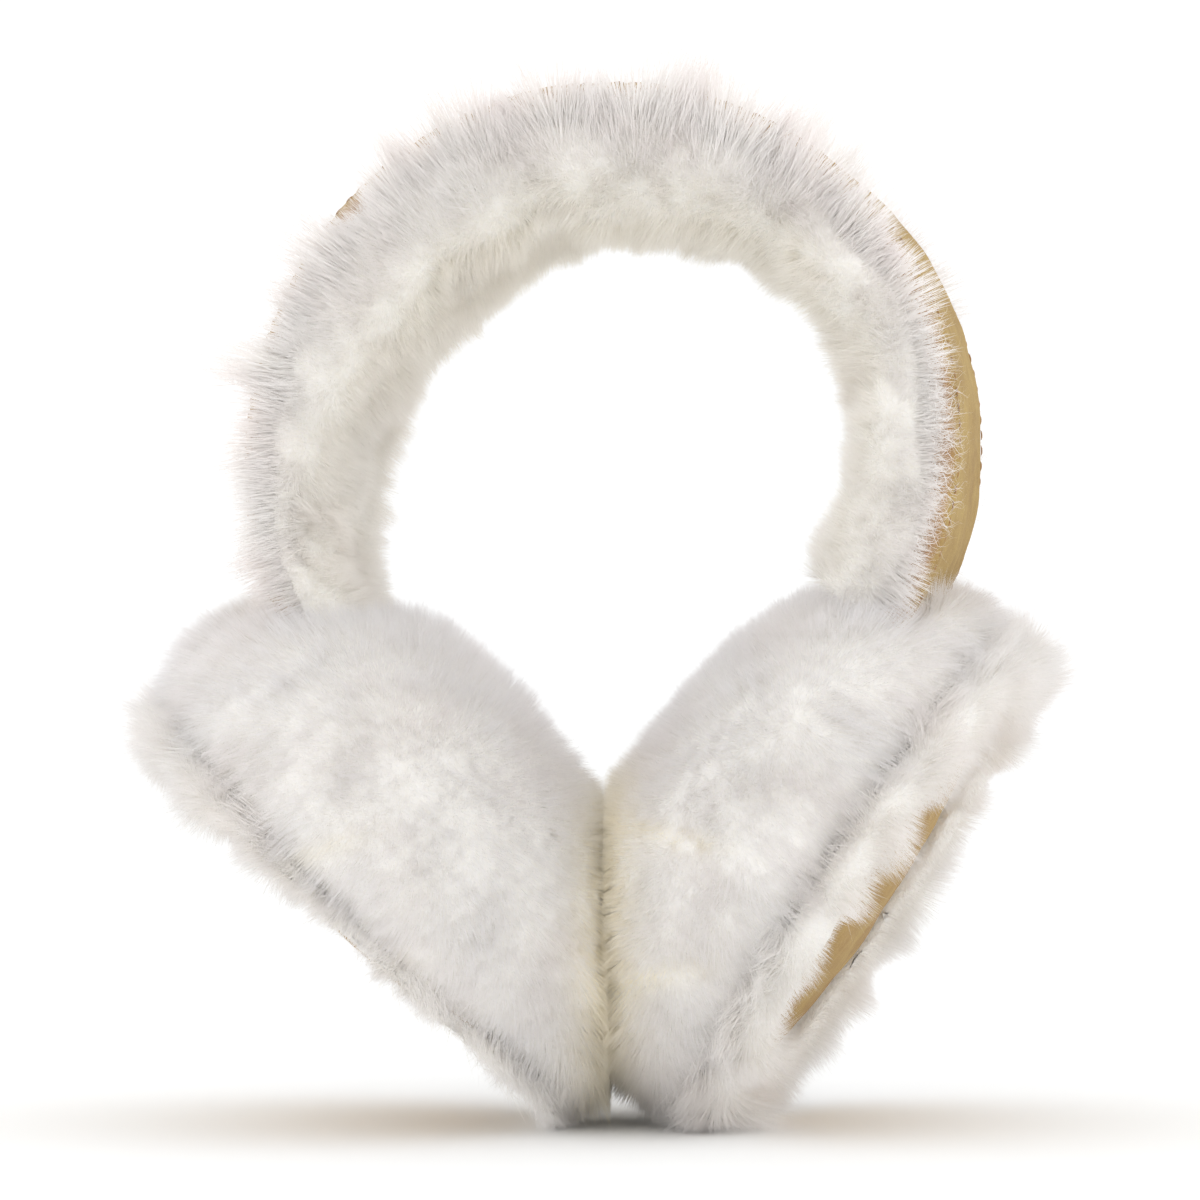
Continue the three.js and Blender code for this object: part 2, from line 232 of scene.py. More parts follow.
# %% Node helpers
def new_group(name, inputs, outputs):
    """An empty node group with named sockets, and its input and output nodes."""
    tree = bpy.data.node_groups.new(name, "ShaderNodeTree")
    for key, kind, value in inputs:
        made = tree.interface.new_socket(key, in_out="INPUT", socket_type="NodeSocket" + kind)
        if value is not None:
            made.default_value = value
    for key, kind in outputs:
        tree.interface.new_socket(key, in_out="OUTPUT", socket_type="NodeSocket" + kind)
    return tree, tree.nodes.new("NodeGroupInput"), tree.nodes.new("NodeGroupOutput")


def connect(tree, socket, value):
    """Gives a socket another node's output, or else a value of its own."""
    if isinstance(value, bpy.types.NodeSocket):
        tree.links.new(value, socket)
    else:
        socket.default_value = value


def add(tree, kind, links=None, **settings):
    """A node with its settings, and its inputs given as values or as other nodes' outputs."""
    node = tree.nodes.new("ShaderNode" + kind)
    for key, value in settings.items():
        setattr(node, key, value)
    for key, value in (links or {}).items():
        connect(tree, node.inputs[key], value)
    return node


def noise(tree, vector, scale, detail=3.0, roughness=0.55):
    """Cloudy noise from 0 to 1, with scale clouds to the metre."""
    links = {"Vector": vector, "Scale": scale, "Detail": detail, "Roughness": roughness}
    return add(tree, "TexNoise", links).outputs["Fac"]


def spread(tree, value, low, high, to_low=0.0, to_high=1.0):
    """The value's range from low to high, stretched evenly to the range from to_low to to_high."""
    links = {"Value": value, "From Min": low, "From Max": high, "To Min": to_low, "To Max": to_high}
    return add(tree, "MapRange", links).outputs["Result"]


def blend(tree, factor, a, b, kind="MIX"):
    """Colour a turned into colour b by the factor, or both multiplied."""
    node = add(tree, "Mix", data_type="RGBA", blend_type=kind)
    for key, value in (("Factor", factor), ("A", a), ("B", b)):
        wanted = "VALUE" if key == "Factor" else "RGBA"
        connect(tree, next(s for s in node.inputs if s.name == key and s.type == wanted), value)
    return next(s for s in node.outputs if s.type == "RGBA")


def maths(tree, operation, a, b=0.0):
    """One step of arithmetic on the values a and b."""
    node = add(tree, "Math", operation=operation)
    for socket, value in zip(node.inputs, (a, b)):
        connect(tree, socket, value)
    return node.outputs["Value"]


def grey(tree, value):
    """A value as a colour with three equal parts."""
    return add(tree, "CombineColor", {"Red": value, "Green": value, "Blue": value}).outputs["Color"]


def bumped(tree, height, strength, distance):
    """The normal of a surface that rises and falls with the height, by the distance in metres."""
    return add(tree, "Bump", {"Height": height, "Strength": strength, "Distance": distance}).outputs["Normal"]


def object_place(tree):
    """The place of each point in the object's own coordinates."""
    return add(tree, "TexCoord").outputs["Object"]


def new_material(name, finish):
    """A new material, its node tree and its shader, with the finish set as plain values."""
    material = bpy.data.materials.new(name)
    material.use_nodes = True
    shader = material.node_tree.nodes["Principled BSDF"]
    for key, value in finish.items():
        shader.inputs[key].default_value = value
    return material, material.node_tree, shader


# %% Suede
def suede_pattern():
    """Colour and height of suede: a short brushed nap, paler and darker strokes, and a fine grain."""
    tree, inside, out = new_group(
        "suede_pattern",
        [
            ("Coordinate", "Vector", None),
            ("Pale", "Color", (0.56, 0.41, 0.22, 1)),
            ("Deep", "Color", (0.40, 0.25, 0.13, 1)),
        ],
        [("Colour", "Color"), ("Height", "Float")],
    )
    here = inside.outputs["Coordinate"]
    strokes = noise(tree, here, 70, 3)
    patches = noise(tree, here, 260, 4, 0.65)
    grain = noise(tree, here, 2400, 2, 0.7)
    shade = maths(tree, "ADD", maths(tree, "MULTIPLY", strokes, 0.5), maths(tree, "MULTIPLY", patches, 0.5))
    base = blend(tree, spread(tree, shade, 0.36, 0.62), inside.outputs["Deep"], inside.outputs["Pale"])
    speckled = blend(tree, 1.0, base, grey(tree, spread(tree, grain, 0.3, 0.75, 0.82, 1.12)), "MULTIPLY")
    height = maths(tree, "ADD", maths(tree, "MULTIPLY", grain, 0.6), maths(tree, "MULTIPLY", patches, 0.8))
    tree.links.new(speckled, out.inputs["Colour"])
    tree.links.new(height, out.inputs["Height"])
    return tree


SUEDE_PATTERN = suede_pattern()


def suede(name, pale, deep, rosy=None):
    """Suede: matt, with the soft bright rim that a nap has. Towards the band's edges it may turn rosy."""
    finish = {"Roughness": 0.92, "Specular IOR Level": 0.2, "Sheen Weight": 0.12, "Sheen Roughness": 0.5}
    material, tree, shader = new_material(name, finish | {"Sheen Tint": (0.95, 0.82, 0.62, 1)})
    here = object_place(tree)
    pattern = add(tree, "Group", {"Coordinate": here, "Pale": pale, "Deep": deep}, node_tree=SUEDE_PATTERN)
    colour = pattern.outputs["Colour"]
    if rosy:
        across = add(tree, "SeparateXYZ", {"Vector": here}).outputs["Y"]
        apart = maths(tree, "ABSOLUTE", maths(tree, "SUBTRACT", across, ARCH_Y))
        edge = spread(tree, apart, SUEDE_WIDTH / 2 - 1.6 * MM, SUEDE_WIDTH / 2 - 0.3 * MM)
        tinted = blend(tree, 1.0, colour, rosy, "MULTIPLY")
        colour = blend(tree, maths(tree, "MULTIPLY", edge, 0.8), colour, tinted)
    tree.links.new(colour, shader.inputs["Base Color"])
    tree.links.new(bumped(tree, pattern.outputs["Height"], 0.55, 0.6 * MM), shader.inputs["Normal"])
    return material


def thread(name, colour):
    """Sewing thread with a fine twist."""
    material, tree, shader = new_material(name, {"Roughness": 0.7})
    twist = noise(tree, object_place(tree), 3000, 2)
    dark = tuple(0.55 * c for c in colour[:3]) + (1,)
    tree.links.new(blend(tree, spread(tree, twist, 0.35, 0.65), dark, colour), shader.inputs["Base Color"])
    tree.links.new(bumped(tree, twist, 0.5, 0.2 * MM), shader.inputs["Normal"])
    return material


print("the suede's pattern has", len(SUEDE_PATTERN.nodes), "nodes")


# %% Fur
def fur_pattern():
    """A hair's colour: creamier at its root and in patches, paler at its tip, each hair a little apart; a
    lighter root is painted light, the cream is painted shade.
    """
    tree, inside, out = new_group(
        "fur_pattern",
        [
            ("Coordinate", "Vector", None),
            ("Along", "Float", 1.0),
            ("Shade", "Float", 0.5),
            ("Warmth", "Float", 0.0),
            ("Root", "Color", (0.97, 0.95, 0.92, 1)),
            ("Tip", "Color", (0.91, 0.90, 0.90, 1)),
            ("Blush", "Color", (0.92, 0.89, 0.885, 1)),
            ("Cream", "Color", (0.97, 0.93, 0.84, 1)),
        ],
        [("Colour", "Color")],
    )
    here = inside.outputs["Coordinate"]
    patches = noise(tree, here, 45, 2)
    outer = blend(tree, spread(tree, patches, 0.42, 0.66), inside.outputs["Tip"], inside.outputs["Blush"])
    # Painted light: where the root colour is lighter than the tip, it stands in for light lost deep among the
    # hairs.
    along = spread(tree, inside.outputs["Along"], 0.0, 0.75)
    mixed = blend(tree, along, inside.outputs["Root"], outer)
    # Painted shade: the creamy colour mixed in by the hair's own value stands for the shade in the groove
    # between the pads, in the creases and under the band.
    mixed = blend(tree, inside.outputs["Warmth"], mixed, inside.outputs["Cream"])
    lit = grey(tree, spread(tree, inside.outputs["Shade"], 0.0, 1.0, 0.97, 1.01))
    tree.links.new(blend(tree, 1.0, mixed, lit, "MULTIPLY"), out.inputs["Colour"])
    return tree


FUR_PATTERN = fur_pattern()


def fur(name, root, tip, blush, shade_cream):
    """Fine wool: soft and matt, coloured along each hair by its own values. Light shines through it."""
    finish = {"Roughness": 0.75, "Specular IOR Level": 0.25, "Sheen Weight": 0.15, "Sheen Roughness": 0.5}
    material, tree, shader = new_material(name, finish)
    values = {"Coordinate": object_place(tree), "Root": root, "Tip": tip, "Blush": blush, "Cream": shade_cream}
    for key in ("Along", "Shade", "Warmth"):
        values[key] = add(tree, "Attribute", attribute_name=key.lower()).outputs["Fac"]
    colour = add(tree, "Group", values, node_tree=FUR_PATTERN).outputs["Colour"]
    tree.links.new(colour, shader.inputs["Base Color"])
    through = add(tree, "BsdfTranslucent", {"Color": colour})
    mixed = add(tree, "MixShader", {0: 0.5, 1: shader.outputs["BSDF"], 2: through.outputs["BSDF"]})
    tree.links.new(mixed.outputs["Shader"], tree.nodes["Material Output"].inputs["Surface"])
    return material


def underfur(name, deep, pale):
    """The dense wool under the hairs: small soft knots in a creamier tone."""
    material, tree, shader = new_material(name, {"Roughness": 0.95, "Specular IOR Level": 0.1})
    knots = noise(tree, object_place(tree), 900, 4, 0.65)
    tree.links.new(blend(tree, spread(tree, knots, 0.3, 0.65), deep, pale), shader.inputs["Base Color"])
    tree.links.new(bumped(tree, knots, 0.8, 1 * MM), shader.inputs["Normal"])
    return material


band_suede = suede("band_suede", (0.49, 0.34, 0.125, 1), (0.37, 0.235, 0.085, 1), rosy=(0.98, 0.84, 1.1, 1))
disc_suede = suede("disc_suede", (0.48, 0.33, 0.125, 1), (0.37, 0.22, 0.08, 1))
stitch_thread = thread("stitch_thread", (0.50, 0.27, 0.10, 1))
# Painted light: the pads' roots are lighter than their tips, standing in for light lost deep among the hairs.
# Each cream colour is painted shade.
pad_wool = fur(
    "pad_wool",
    root=(0.97, 0.955, 0.93, 1),
    tip=(0.905, 0.892, 0.898, 1),
    blush=(0.912, 0.882, 0.88, 1),
    shade_cream=(0.99, 0.94, 0.81, 1),
)
band_wool = fur(
    "band_wool",
    root=(0.98, 0.965, 0.94, 1),
    tip=(0.985, 0.968, 0.96, 1),
    blush=(0.98, 0.95, 0.94, 1),
    shade_cream=(0.98, 0.95, 0.86, 1),
)
# Painted light: the hides are lighter than the pads' hair tips, standing in for light lost deep in the fur.
pad_under = underfur("pad_under", (0.965, 0.94, 0.89, 1), (0.98, 0.965, 0.945, 1))
band_under = underfur("band_under", (0.965, 0.94, 0.88, 1), (0.98, 0.965, 0.94, 1))
print("materials made:", len(bpy.data.materials))


# %% [markdown]
# ## The suede band
#
# A band of suede runs over the arch, folded in at both edges. Its section is a wall of even
# thickness with round corners. A low ridge runs beside each edge, where the fold is sewn down.

# %% Suede band
RIDGE_AT = 0.42 * SUEDE_WIDTH
RIDGE_HEIGHT = 0.22 * MM
SEWN_AT = 0.45 * SUEDE_WIDTH - 0.3 * MM
STITCH_STEP = 2.6  # degrees


def band_section(inset):
    """The band's line from one lip over the top to the other, drawn in by the inset."""
    half = SUEDE_WIDTH / 2 - inset
    top = ARCH_RADIUS - inset
    corner = max(SUEDE_CORNER - inset, 0.6 * MM)
    down = np.linspace(ARCH_RADIUS - SUEDE_LIP, top - corner, 5)[:-1]
    turn = np.radians(np.linspace(0, 90, 7))
    edge = np.stack([top - corner + corner * np.sin(turn), half - corner + corner * np.cos(turn)], -1)
    across = np.linspace(half - corner, 0, 16)[1:]
    wall = np.stack([down, np.full(4, half)], -1)
    side = np.concatenate([wall, edge, np.stack([np.full(15, top), across], -1)])
    mirrored = side[:-1][::-1] * [1, -1]
    return np.concatenate([side, mirrored])


def suede_band():
    """The band's wall: its outer line and its inner line, joined at the two lips by a rounded edge."""
    outer = band_section(0)
    inner = band_section(SUEDE_WALL)[::-1]
    rounding = [0.45 * MM, 0]
    lip_front = (outer[-1] + inner[0]) / 2 - rounding
    lip_back = (outer[0] + inner[-1]) / 2 - rounding
    section = np.concatenate([outer, lip_front[None], inner, lip_back[None]])
    angle = np.linspace(-ARCH_END, 180 + ARCH_END, 176)[:, None]
    radius, y = section[:, 0][None], section[:, 1][None]
    on_top = radius > ARCH_RADIUS - 0.1 * MM
    ridge = RIDGE_HEIGHT * hump(np.abs(y) - RIDGE_AT, 0.9 * MM) * on_top
    points = arch_point(angle, radius + ridge, y)
    lift = 0.16 * MM * Waves(5, 16 * MM).over(points) + 0.06 * MM * Waves(6, 5 * MM).over(points)
    points = points + outward(angle) * lift[..., None]
    return mesh_piece("band_cover_suede", *closed_skin(points), band_suede)


def stitches(name, centres, along, up, length, width, material):
    """Stitches: small rounded bars that dip into the leather at both ends, 5 rings of 5 points each."""
    step = np.linspace(-1, 1, 5)
    turn = (2 * np.pi * np.arange(5) / 5)[None, None, :, None]
    side = np.cross(along, up)
    lift = (1 - step**2)[None, :, None] * 0.35 * width * up[:, None, :]
    middle = centres[:, None, :] + 0.5 * length * step[None, :, None] * along[:, None, :] + lift
    girth = 0.5 * width * np.sqrt(np.clip(1 - (0.9 * step) ** 2, 0.05, 1))
    ring = np.cos(turn) * side[:, None, None] + 0.8 * np.sin(turn) * up[:, None, None]
    points = middle[:, :, None, :] + girth[None, :, None, None] * ring
    count = len(centres)
    points = points.reshape(count, 25, 3)
    ends = np.stack([points[:, :5].mean(1), points[:, 20:].mean(1)], 1)
    points = np.concatenate([points, ends], 1).reshape(-1, 3)
    i = np.arange(5)
    j = (i + 1) % 5
    caps = [np.stack([j, i, np.full(5, 25)], -1), np.stack([20 + i, 20 + j, np.full(5, 26)], -1)]
    one = np.concatenate([grid_faces(5, 5), *caps])
    faces = (one[None] + 27 * np.arange(count)[:, None, None]).reshape(-1, 3)
    a, b, c = points[faces[:, 0]], points[faces[:, 1]], points[faces[:, 2]]
    inside = (points.reshape(count, 27, 3).mean(1))[np.repeat(np.arange(count), len(one))]
    if (np.cross(b - a, c - a) * (a - inside)).sum() < 0:
        faces = faces[:, ::-1]
    return mesh_piece(name, points, faces, material)


band_piece = suede_band()
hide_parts("band_cover")
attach(band_piece, "root")

stitch_angle = np.arange(-ARCH_END + 2, 180 + ARCH_END - 2, STITCH_STEP)
both = np.concatenate([stitch_angle, stitch_angle])
sewn_y = np.repeat([-SEWN_AT, SEWN_AT], len(stitch_angle))
band_stitches = stitches(
    "band_stitches",
    arch_point(both, ARCH_RADIUS - 0.05 * MM, sewn_y),
    outward(both + 90),
    outward(both),
    2.0 * MM,
    0.42 * MM,
    stitch_thread,
)
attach(band_stitches, "root")
print("stitches on the band:", len(both))


# %% [markdown]
# ## The suede discs
#
# Each disc lies on its cushion's hollow back and bulges outwards. It is puckered near its edge,
# where it is sewn in under the fringe.

# %% Discs
PUCKERS = 38


def suede_disc(side):
    """Rings from the middle of the upper face, round the edge, to the middle of the lower face.

    Each ring's level is the disc's rise times 1 less the share squared, less the depth in the wall."""
    share = np.concatenate([np.linspace(0.02, 1, 10), [1.006], np.linspace(1, 0.02, 34)])
    depth = np.concatenate([np.zeros(10), [0.5], np.ones(34)]) * DISC_WALL
    turn = 2 * np.pi * np.arange(3 * PUCKERS) / (3 * PUCKERS)
    radius = np.minimum(share, 1)[:, None] * DISC_RADIUS
    level = -PAD_BACK - DISC_RISE * (1 - np.minimum(share, 1) ** 2) - CLEARANCE - depth
    pucker = 0.35 * MM * np.sin(PUCKERS * turn)[None] * hump(share[:, None] - 0.93, 0.07)
    local = np.stack([radius * np.cos(turn), radius * np.sin(turn), level[:, None] - pucker], -1)
    sag = np.abs(Waves(31 if side == "left" else 32, 22 * MM).over(local))
    local[..., 2] -= 0.28 * MM * sag * np.where(share > 1, 1, 1 - share**4)[:, None]
    rotation, middle = pad_place(side)
    return mesh_piece(f"{side}_disc_suede", *closed_skin(local @ rotation.T + middle), disc_suede)


for side in SIDES:
    piece = suede_disc(side)
    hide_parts(f"{side}_pad_disc")
    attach(piece, "root")
    print(f"{piece.name}: {len(piece.data.vertices)} points")


# %% [markdown]
# ## The cushions and fringes
#
# Each furred solid gives the shape of its hide. It is drawn in by the depth of the fur, and the
# cushions are then blown up softly by a cloth simulation, as their filling would.

# %% Hides
PRESSED = 0.8 * MM  # how far a hide is drawn in where its fur is pressed flat


def evaluated(piece, name):
    """The piece's mesh with its modifiers applied, in a new object of that name."""
    shown = piece.evaluated_get(bpy.context.evaluated_depsgraph_get())
    mesh = bpy.data.meshes.new_from_object(shown)
    bpy.data.meshes.remove(piece.data)
    mesh.name = name
    made = bpy.data.objects.new(name, mesh)
    bpy.context.scene.collection.objects.link(made)
    return made


def coordinates(mesh):
    """The mesh's points as an array (n, 3)."""
    values = np.empty(3 * len(mesh.vertices), dtype=np.float32)
    mesh.vertices.foreach_get("co", values)
    return values.reshape(-1, 3).astype(float)


def vertex_normals(mesh):
    """The direction that the mesh faces at each point, as an array (n, 3)."""
    values = np.empty(3 * len(mesh.vertices), dtype=np.float32)
    mesh.vertex_normals.foreach_get("vector", values)
    return values.reshape(-1, 3).astype(float)


def pressed_planes(side):
    """The floor and the plane between the two pads, each as a point and the direction of the pad."""
    apart = np.array([math.cos(PADS_TURN), math.sin(PADS_TURN), 0]) * (1 if side == "right" else -1)
    return [(np.zeros(3), np.array([0, 0, 1.0])), (np.array([ARCH_X - ARCH_SHIFT, ARCH_Y, 0]), apart)]


def hide(node, name, inset, voxel, rounds, material, seam, planes):
    """A node's shape, remeshed, smoothed and drawn in along its normals by the inset of each point.

    The side that faces along seam, where the next piece is sewn on, isn't drawn in that way. Where
    the piece is pressed on a plane, its fur is flat, so there it is drawn in by little."""
    copy = bpy.data.objects.new(name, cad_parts[node].data.copy())
    bpy.context.scene.collection.objects.link(copy)
    weld = copy.modifiers.new("weld", "WELD")
    weld.merge_threshold = 1e-5
    remesh = copy.modifiers.new("remesh", "REMESH")
    remesh.mode = "VOXEL"
    remesh.voxel_size = voxel
    smooth = copy.modifiers.new("smooth", "SMOOTH")
    smooth.iterations = rounds
    piece = evaluated(copy, name)
    mesh = piece.data
    start = coordinates(mesh)
    for _ in range(3):
        inwards = vertex_normals(mesh)
        inwards = np.maximum(inwards @ seam, 0)[:, None] * seam - inwards
        moved = coordinates(mesh) + inwards * inset(start)[:, None] / 3
        mesh.vertices.foreach_set("co", moved.astype(np.float32).ravel())
        mesh.update()
    moved = coordinates(mesh)
    for point, away in planes:
        lifted = np.maximum((moved - start) @ away - PRESSED, 0) * hump((start - point) @ away, 3 * MM)
        moved = moved - lifted[:, None] * away
    mesh.vertices.foreach_set("co", moved.astype(np.float32).ravel())
    mesh.update()
    mesh.materials.clear()
    mesh.materials.append(material)
    mesh.polygons.foreach_set("use_smooth", np.ones(len(mesh.polygons), dtype=bool))
    return piece


def inflated(piece, pressure, most):
    """The piece swollen by a cloth simulation of 20 frames, no point moved further than most."""
    name = piece.name
    before = coordinates(piece.data)
    cloth = piece.modifiers.new("cloth", "CLOTH")
    cloth.settings.quality = 4
    cloth.settings.mass = 0.3
    cloth.settings.use_pressure = True
    cloth.settings.uniform_pressure_force = pressure
    cloth.settings.effector_weights.gravity = 0
    cloth.settings.tension_stiffness = 12
    cloth.settings.compression_stiffness = 12
    cloth.settings.bending_stiffness = 0.4
    scene = bpy.context.scene
    for step in range(1, 21):
        scene.frame_set(step)
    swollen = evaluated(piece, name)
    scene.frame_set(1)
    shift = coordinates(swollen.data) - before
    far = np.linalg.norm(shift, axis=1, keepdims=True)
    capped = before + shift * np.minimum(1, most / np.maximum(far, 1e-9))
    swollen.data.vertices.foreach_set("co", capped.astype(np.float32).ravel())
    swollen.data.update()
    print(f"{name}: swelled by {far.mean() * 1000:.2f} mm on average, capped at {most * 1000:.1f}")
    return swollen


def subdivided(piece):
    """The piece with one level of subdivision applied."""
    name = piece.name
    finer = piece.modifiers.new("finer", "SUBSURF")
    finer.levels = finer.render_levels = 1
    return evaluated(piece, name)


def raised(points, low, high):
    """0 below the height low, 1 above the height high, and even between."""
    return np.clip((points[:, 2] - low) / (high - low), 0, 1)


def plumpness(side, points):
    """1 over the pad's upper end, where its filling is plump, 0 elsewhere; not on the right dome's crown."""
    rotation, middle = pad_place(side)
    crown = np.clip(((points - middle) @ rotation[:, 2] - 18 * MM) / (14 * MM), 0, 1)
    return raised(points, 72 * MM, 98 * MM) * (1 - crown * (side == "right"))


# Creases in the front of a cushion, as lines in the upright plane of the band: x and z of both ends
CREASES = {
    "left": np.array([[-48, 57, -30, 62], [-42, 33, -20, 39]]) * MM,
    "right": np.array([[13, 62.5, 36, 59], [10, 30, 33, 37]]) * MM,
}


def crease(side, points):
    """1 in a crease and 0 away from it: a hump of the distance from the nearest line."""
    deep = np.zeros(len(points))
    for x0, z0, x1, z1 in CREASES[side]:
        start, run = np.array([x0, z0]), np.array([x1 - x0, z1 - z0])
        off = points[:, [0, 2]] - start
        share = np.clip(off @ run / (run @ run), 0, 1)
        apart = np.linalg.norm(off - share[:, None] * run, axis=1)
        deep = np.maximum(deep, hump(apart, 1.7 * MM) * np.sin(np.pi * np.clip(share, 0.06, 0.94)))
    return deep * (points[:, 1] < 0) * (0.45 if side == "left" else 1)


def cushion_inset(side):
    """The fur's depth on a cushion: less over its upper end, and least at its seam."""
    rotation, middle = pad_place(side)

    def inset(points):
        above_seam = np.clip(((points - middle) @ rotation[:, 2] + PAD_BACK) / (14 * MM), 0, 1)
        depth = (4.8 - 3.6 * plumpness(side, points)) * (0.15 + 0.85 * above_seam)
        return (depth + 1.3 * crease(side, points)) * MM

    return inset


fringe_insets = {
    "left": lambda points: (4.8 - 3.4 * raised(points, 40 * MM, 80 * MM)) * MM,
    "right": lambda points: (2.2 - 1.0 * raised(points, 60 * MM, 95 * MM)) * MM,
}
hides = {}
for side in SIDES:
    axis = pad_place(side)[0][:, 2]
    planes = pressed_planes(side)
    inset = cushion_inset(side)
    cushion = hide(
        f"{side}_pad_cushion", f"{side}_cushion_hide", inset, voxel=4.5 * MM, rounds=4,
        material=pad_under, seam=-axis, planes=planes,
    )
    cushion = inflated(cushion, pressure=4.0, most=1.5 * MM)
    cushion = subdivided(cushion)
    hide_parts(f"{side}_pad_cushion")
    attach(cushion, "root")
    hides[f"{side}_cushion"] = cushion
    ring = hide(
        f"{side}_pad_fringe", f"{side}_fringe_hide", fringe_insets[side], voxel=2.5 * MM, rounds=3,
        material=pad_under, seam=axis, planes=planes,
    )
    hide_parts(f"{side}_pad_fringe")
    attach(ring, "root")
    hides[f"{side}_fringe"] = ring
print({key: len(piece.data.vertices) for key, piece in hides.items()})


# %% [markdown]
# ## The band's fleece
#
# The fleece fills the suede's channel and bulges out of its mouth towards the head. It is thicker
# over the top of the head and a little flattened at the left leg's end.

# %% Fleece
FLEECE_INSET = 5 * MM
FLEECE_MOUTH = ARCH_RADIUS - SUEDE_LIP - CLEARANCE
# Where the fleece is thicker or thinner: angle and spread in degrees, and the share of its depth
SWELLS = np.array([[-20, 24, 0.10], [90, 46, 0.34], [124, 13, 0.14], [148, 22, 0.25], [214, 24, -0.28]])


def fleece_depth(angle):
    """The fleece's depth from the suede's outside: its size times 1 and the swellings' humps."""
    near = hump(np.asarray(angle)[..., None] - SWELLS[:, 0], SWELLS[:, 1])
    return FLEECE_DEPTH * (1 + (SWELLS[:, 2] * near).sum(-1))


def fleece_side(angle, turn):
    """The bulge's radius and y: depth times the sine to 0.8, half width times the cosine to 0.6."""
    depth = fleece_depth(angle) - SUEDE_LIP - CLEARANCE - FLEECE_INSET
    turn = np.radians(turn)
    return FLEECE_MOUTH - depth * np.sin(turn) ** 0.8, (FLEECE_WIDTH / 2 - 3.5 * MM) * np.cos(turn) ** 0.6


def fleece_hide():
    """The fleece's hide: a neck in the suede's channel, and a bulge drawn in by the depth of its fur."""
    angle = np.linspace(-ARCH_END, 180 + ARCH_END, 180)[:, None]
    half_neck = SUEDE_WIDTH / 2 - SUEDE_WALL - CLEARANCE
    neck = np.array([ARCH_RADIUS - SUEDE_WALL - CLEARANCE, FLEECE_MOUTH + 0.5 * MM]) + 0 * angle
    neck_y = np.array([half_neck - SUEDE_CORNER, half_neck]) + 0 * angle
    radius, y = fleece_side(angle, np.linspace(4, 89.5, 16)[None])
    radius, y = np.concatenate([neck, radius], 1), np.concatenate([neck_y, y + 0 * radius], 1)
    radius = np.concatenate([radius, radius[:, :-1][:, ::-1]], 1)
    y = np.concatenate([y, -y[:, :-1][:, ::-1]], 1)
    points = arch_point(angle, radius, y)
    on_bulge = radius < FLEECE_MOUTH - 1 * MM
    points = points - outward(angle) * (0.8 * MM * Waves(41, 20 * MM).over(points) * on_bulge)[..., None]
    return mesh_piece("band_fleece_hide", *closed_skin(points), band_under)


fleece = fleece_hide()
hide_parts("band_fleece")
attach(fleece, "root")
hides["fleece"] = fleece
for key, made in hides.items():
    print(f"{key}: lowest point {coordinates(made.data)[:, 2].min() * 1000:.2f} mm")


# %% [markdown]
# ## Growing the fur
#
# Hairs are thin ribbons that taper to a point. Each starts a little under its hide, leans the way
# the fur is brushed, and is drawn towards its neighbours so that they stand in locks.

# %% Growing
HAIR_ROOT = 0.8 * MM  # how deep a hair starts under its hide


def scattered(piece, count, seed, weight):
    """Random places on the piece, as many for each bit of area as its weight says, with their normals."""
    mesh = piece.data
    mesh.calc_loop_triangles()
    corners = np.empty(3 * len(mesh.loop_triangles), dtype=np.int32)
    mesh.loop_triangles.foreach_get("vertices", corners)
    corners = corners.reshape(-1, 3)
    points, normals = coordinates(mesh), vertex_normals(mesh)
    a, b, c = (points[corners[:, k]] for k in range(3))
    area = 0.5 * np.linalg.norm(np.cross(b - a, c - a), axis=1)
    area = area * weight((a + b + c) / 3, unit(np.cross(b - a, c - a)))
    rng = np.random.default_rng(seed)
    chosen = rng.choice(len(area), count, p=area / area.sum())
    share = rng.dirichlet([1, 1, 1], count)
    place = (points[corners[chosen]] * share[..., None]).sum(1)
    facing = unit((normals[corners[chosen]] * share[..., None]).sum(1))
    return place, facing


